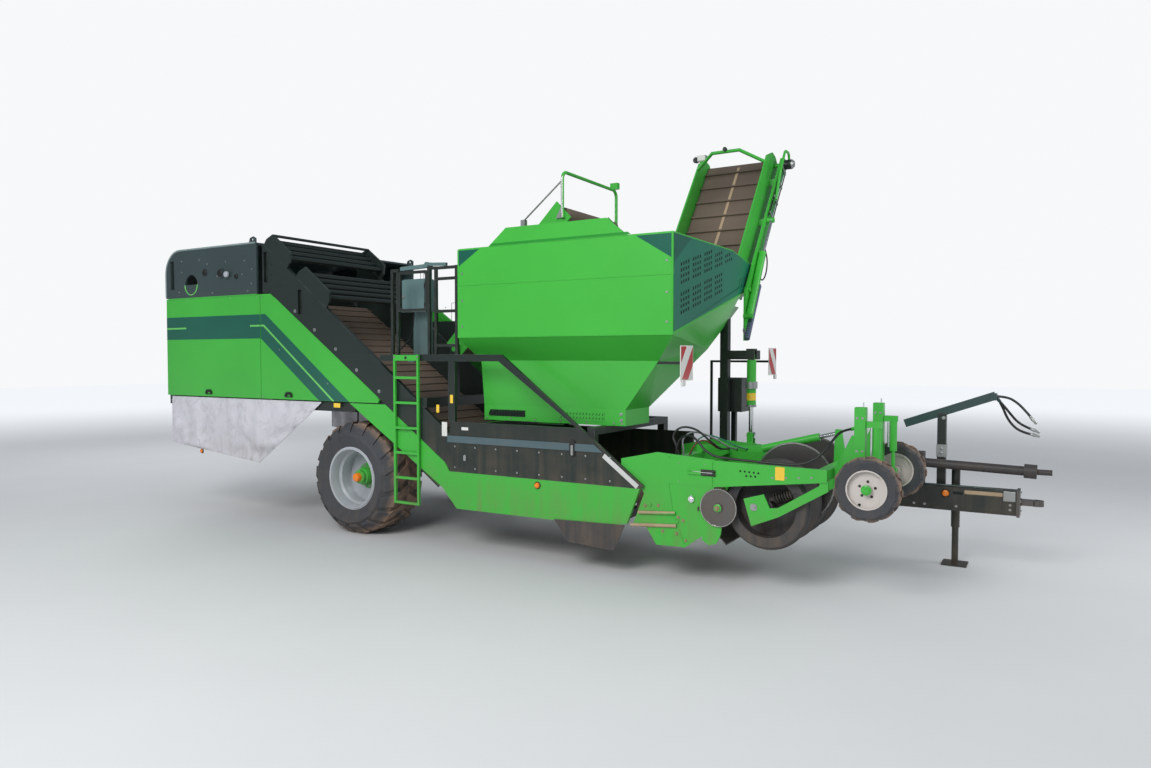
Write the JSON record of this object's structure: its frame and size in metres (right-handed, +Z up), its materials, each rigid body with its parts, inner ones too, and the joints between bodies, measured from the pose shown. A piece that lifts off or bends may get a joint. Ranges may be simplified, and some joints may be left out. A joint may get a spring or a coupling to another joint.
{
  "type": "trailed potato harvester with bunker",
  "caption": "Trailed potato harvester: side digger with diabolo rollers and coulter discs, climbing web, rear hood, bunker with folding discharge elevator, swinging drawbar",
  "frame": {"origin": "bottom centre of the bounding box, on the ground", "axes": "+X forward to the hitch, +Y left, +Z up"},
  "size_m": [11.81, 3.7292, 5.1494],
  "materials": {
    "green": "gloss",
    "dark_panel": "satin",
    "hood_grey": "satin",
    "cabinet_grey": "satin",
    "canvas": "matte",
    "tyre": "matte",
    "rim_silver": "satin",
    "rim_cream": "satin",
    "drawbar_dark": "satin",
    "belt_rubber": "matte",
    "roller_rubber": "satin",
    "bare_steel": "worn",
    "board_white": "gloss",
    "chrome_rod": "polished"
  },
  "bodies": {
    "chassis": {"main_frame": "drawbar_dark", "axle_beam": "drawbar_dark", "side_band_right": "green", "side_band_left": "green", "dark_side_right": "dark_panel", "channel_wall_left": "dark_panel", "rear_cage": "dark_panel", "rear_hood": "hood_grey", "canvas_skirt": "canvas", "ground_flap": "roller_rubber", "web_belts": "belt_rubber", "haulm_rollers": "dark_panel", "rear_separator": "roller_rubber", "picking_table": "dark_panel", "bunker_shell": "green", "bunker_floor": "belt_rubber", "bunker_supports": "drawbar_dark", "platform": "dark_panel", "railing": "drawbar_dark", "control_cabinet": "cabinet_grey", "warning_boards": "board_white"},
    "wheel_right": {"main_tyre_right": "tyre", "main_rim_right": "rim_silver"},
    "wheel_left": {"main_tyre_left": "tyre", "main_rim_left": "rim_silver"},
    "digger": {"digger_frame": "green", "shares": "bare_steel", "digger_web": "belt_rubber", "diabolo_frame": "green", "gauge_frame": "green", "beam_hose": "roller_rubber"},
    "diabolo_right": {"diabolo_right": "roller_rubber"},
    "diabolo_left": {"diabolo_left": "roller_rubber"},
    "coulter_right": {"coulter_right": "bare_steel"},
    "coulter_left": {"coulter_left": "bare_steel"},
    "side_disc": {"side_disc": "bare_steel"},
    "gauge_right": {"gauge_tyre_right": "tyre", "gauge_rim_right": "rim_cream"},
    "gauge_left": {"gauge_tyre_left": "tyre", "gauge_rim_left": "rim_cream"},
    "drawbar": {"drawbar_beam": "drawbar_dark", "hitch_eye": "bare_steel", "pto_drive": "drawbar_dark", "hose_arm": "drawbar_dark", "hose_upper": "roller_rubber", "hose_middle": "roller_rubber", "hose_lower": "roller_rubber", "hose_couplings": "bare_steel"},
    "jack_leg": {"jack_leg": "bare_steel"},
    "elevator": {"discharge_frame": "green", "discharge_belt": "belt_rubber"},
    "fill_conveyor": {"fill_conveyor": "green"},
    "bunker_flap": {"bunker_flap": "green"},
    "rear_door_right": {"rear_door_right": "green"},
    "rear_door_left": {"rear_door_left": "green"},
    "front_door_right": {"front_door_right": "green"},
    "front_door_left": {"front_door_left": "green"},
    "ladder": {"ladder": "green"},
    "lift_barrel": {"lift_barrel": "green"},
    "lift_rod": {"lift_rod": "chrome_rod"}
  },
  "joints": [
    {"name": "wheel_right_spin", "type": "hinge", "parent": "chassis", "child": "wheel_right", "pos_m": [-1.975, -1.48956, 0.735], "axis": [0, 1, 0], "continuous": true},
    {"name": "wheel_left_spin", "type": "hinge", "parent": "chassis", "child": "wheel_left", "pos_m": [-1.975, 1.09044, 0.735], "axis": [0, 1, 0], "continuous": true},
    {"name": "digger_lift", "type": "hinge", "parent": "chassis", "child": "digger", "pos_m": [1.925, -1.77456, 1.05], "axis": [0, 1, 0], "range_deg": [0, 12]},
    {"name": "diabolo_right_spin", "type": "hinge", "parent": "digger", "child": "diabolo_right", "pos_m": [3.525, -1.44456, 0.865], "axis": [0, 1, 0], "continuous": true},
    {"name": "coulter_right_spin", "type": "hinge", "parent": "digger", "child": "coulter_right", "pos_m": [3.625, -1.06956, 1.035], "axis": [0, 1, 0], "continuous": true},
    {"name": "gauge_right_spin", "type": "hinge", "parent": "digger", "child": "gauge_right", "pos_m": [4.485, -1.75956, 1.13], "axis": [0, 1, 0], "continuous": true},
    {"name": "diabolo_left_spin", "type": "hinge", "parent": "digger", "child": "diabolo_left", "pos_m": [3.525, -0.69456, 0.865], "axis": [0, 1, 0], "continuous": true},
    {"name": "coulter_left_spin", "type": "hinge", "parent": "digger", "child": "coulter_left", "pos_m": [3.625, -0.32956, 1.035], "axis": [0, 1, 0], "continuous": true},
    {"name": "gauge_left_spin", "type": "hinge", "parent": "digger", "child": "gauge_left", "pos_m": [4.485, -0.25956, 1.13], "axis": [0, 1, 0], "continuous": true},
    {"name": "side_disc_spin", "type": "hinge", "parent": "digger", "child": "side_disc", "pos_m": [3.075, -1.78956, 0.83], "axis": [0, 1, 0], "continuous": true},
    {"name": "drawbar_swing", "type": "hinge", "parent": "chassis", "child": "drawbar", "pos_m": [2.625, 0.43044, 0.64], "axis": [0, 0, 1], "range_deg": [-6, 14]},
    {"name": "jack_slide", "type": "slide", "parent": "drawbar", "child": "jack_leg", "axis": [0, 0, 1], "range_m": [0, 0.38]},
    {"name": "elevator_fold", "type": "hinge", "parent": "chassis", "child": "elevator", "pos_m": [1.575, 0.32044, 3.15], "axis": [-1, 0, 0], "range_deg": [-30, 40]},
    {"name": "fill_height", "type": "hinge", "parent": "chassis", "child": "fill_conveyor", "pos_m": [-0.725, -1.16956, 2.42], "axis": [0, 1, 0], "range_deg": [0, 10]},
    {"name": "bunker_flap_fold", "type": "hinge", "parent": "chassis", "child": "bunker_flap", "pos_m": [0.275, -1.79956, 3.588], "axis": [-1, 0, 0], "range_deg": [0, 95]},
    {"name": "rear_door_right_lift", "type": "hinge", "parent": "chassis", "child": "rear_door_right", "pos_m": [-5.905, -1.81956, 3.2], "axis": [-1, 0, 0], "range_deg": [0, 95]},
    {"name": "rear_door_left_lift", "type": "hinge", "parent": "chassis", "child": "rear_door_left", "pos_m": [-5.905, 1.42044, 3.2], "axis": [1, 0, 0], "range_deg": [0, 95]},
    {"name": "front_door_right_lift", "type": "hinge", "parent": "chassis", "child": "front_door_right", "pos_m": [-3.50361, -1.81956, 3.2], "axis": [-0.8233, 0, 0.5676], "range_deg": [0, 90]},
    {"name": "front_door_left_lift", "type": "hinge", "parent": "chassis", "child": "front_door_left", "pos_m": [-3.50361, 1.42044, 3.2], "axis": [0.8233, 0, -0.5676], "range_deg": [0, 90]},
    {"name": "ladder_fold", "type": "hinge", "parent": "chassis", "child": "ladder", "pos_m": [-0.96, -1.83456, 2.31], "axis": [0, -1, 0], "range_deg": [0, 90]},
    {"name": "lift_barrel_tilt", "type": "hinge", "parent": "chassis", "child": "lift_barrel", "pos_m": [2.775, 0.08044, 2.34], "axis": [0, -1, 0], "range_deg": [-0.5, 3]},
    {"name": "lift_rod_slide", "type": "slide", "parent": "lift_barrel", "child": "lift_rod", "axis": [0, 0, -1], "range_m": [-0.005, 0.19]}
  ],
  "couplings": [
    {"joint": "lift_barrel_tilt", "follows": "digger_lift", "ratio": 0.20871},
    {"joint": "lift_rod_slide", "follows": "digger_lift", "m_per_rad": 0.88345}
  ]
}
